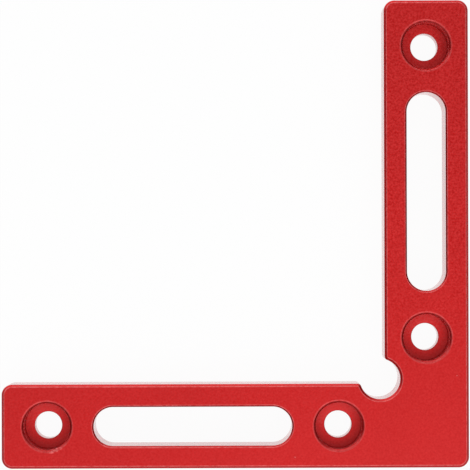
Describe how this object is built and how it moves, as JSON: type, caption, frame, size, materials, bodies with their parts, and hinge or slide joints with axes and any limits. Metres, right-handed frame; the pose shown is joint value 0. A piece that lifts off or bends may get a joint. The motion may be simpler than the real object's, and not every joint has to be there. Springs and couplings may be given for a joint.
{
  "type": "positioning square",
  "caption": "L-shaped red anodised aluminium plate that holds panels at a right angle, with clamp slots, recessed screw holes and a round inner-corner relief.",
  "frame": {"origin": "middle of the square outline, on the lower face the plate lies on", "axes": "+Z out of the upper face, +X towards the outer edge of the upright arm, +Y towards the free end of the upright arm"},
  "size_m": [0.12, 0.12, 0.012],
  "materials": {
    "red_anodised": "bead-blasted and red anodised, satin"
  },
  "bodies": {
    "root": {"positioning_square": "red_anodised"}
  },
  "joints": []
}
